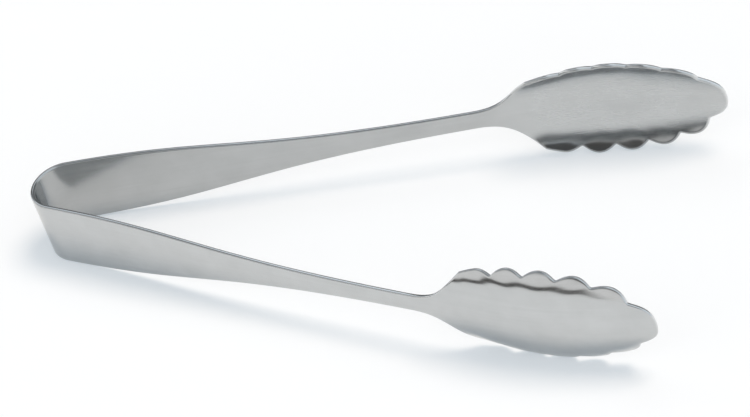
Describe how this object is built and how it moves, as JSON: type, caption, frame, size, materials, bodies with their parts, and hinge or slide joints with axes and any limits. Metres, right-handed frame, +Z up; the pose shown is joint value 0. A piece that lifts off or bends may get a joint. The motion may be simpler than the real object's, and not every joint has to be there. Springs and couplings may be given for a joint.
{
  "type": "kitchen tongs",
  "caption": "Spring tongs bent from stainless strip, with a wide bow, tapering arms and dished oval bowls with scalloped edges for gripping and serving food.",
  "frame": {"origin": "on the axis of the bow's loop, at the middle of the strip's width", "axes": "+X from the bow towards the bowls along the middle plane, +Y towards the rear arm, +Z up across the strip's width"},
  "size_m": [0.2302, 0.107, 0.0394],
  "materials": {
    "stainless_steel": "soft polished stainless steel with faint lengthwise lines"
  },
  "bodies": {
    "spring_bow": {"spring_bow": "stainless_steel"},
    "front_arm": {"front_handle": "stainless_steel", "front_bowl": "stainless_steel"},
    "rear_arm": {"rear_handle": "stainless_steel", "rear_bowl": "stainless_steel"}
  },
  "joints": [
    {"name": "front_arm_flex", "type": "hinge", "parent": "spring_bow", "child": "front_arm", "pos_m": [0.01076, -0.01333, 0], "axis": [0, 0, 1], "range_deg": [-3, 13.7], "stiffness_Nm_per_rad": 11},
    {"name": "rear_arm_flex", "type": "hinge", "parent": "spring_bow", "child": "rear_arm", "pos_m": [0.01076, 0.01333, 0], "axis": [0, 0, -1], "range_deg": [-3, 13.7], "stiffness_Nm_per_rad": 11}
  ]
}
